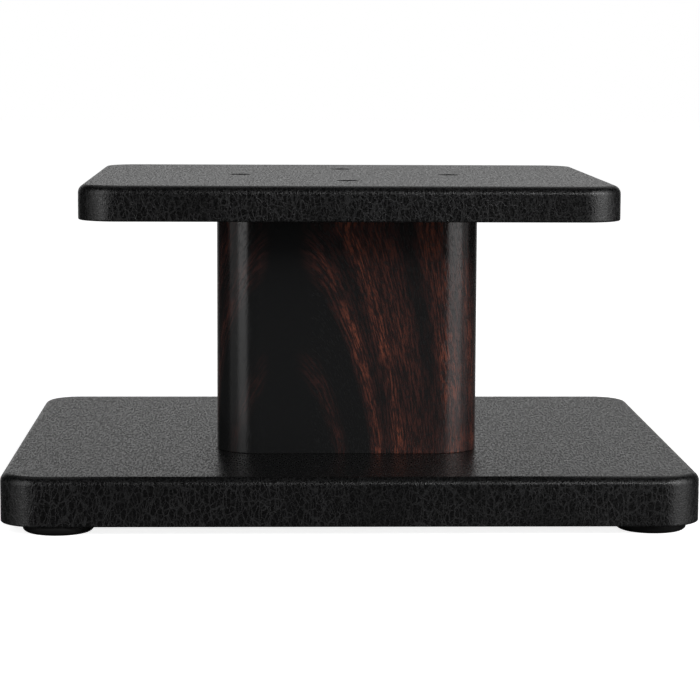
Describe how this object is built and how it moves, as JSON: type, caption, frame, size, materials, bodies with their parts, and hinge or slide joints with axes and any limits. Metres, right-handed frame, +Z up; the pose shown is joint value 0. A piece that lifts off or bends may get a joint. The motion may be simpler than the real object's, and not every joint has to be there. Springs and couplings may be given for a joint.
{
  "type": "speaker stand",
  "caption": "Low speaker stand: a leather-grain wrapped base plate and smaller top plate joined by a hollow wood-figured column, on rubber feet.",
  "frame": {"origin": "on the floor, below the middle of the base plate", "axes": "+X across the stand, towards its right; +Y towards its back; +Z up"},
  "size_m": [0.305, 0.26, 0.1493],
  "materials": {
    "board": "raw fibreboard",
    "leather_film": "satin, fine leather grain",
    "liner": "matt",
    "wood_film": "satin, dark red-brown figure",
    "insert_steel": "zinc plated",
    "screw_steel": "black oxide",
    "foot_rubber": "matt",
    "foot_adhesive": "matt foam tape"
  },
  "bodies": {
    "root": {"base_board": "board", "base_cover": "leather_film", "base_liner": "liner", "top_board": "board", "top_cover": "leather_film", "top_liner": "liner", "column_front_wall": "board", "column_back_wall": "board", "column_left_wall": "board", "column_right_wall": "board", "column_wrap": "wood_film", "top_inserts": "insert_steel", "bottom_inserts": "insert_steel", "top_screws": "screw_steel", "bottom_screws": "screw_steel", "front_left_foot": "foot_rubber", "front_right_foot": "foot_rubber", "rear_left_foot": "foot_rubber", "rear_right_foot": "foot_rubber", "front_left_foot_pad": "foot_adhesive", "front_right_foot_pad": "foot_adhesive", "rear_left_foot_pad": "foot_adhesive", "rear_right_foot_pad": "foot_adhesive"}
  },
  "joints": []
}
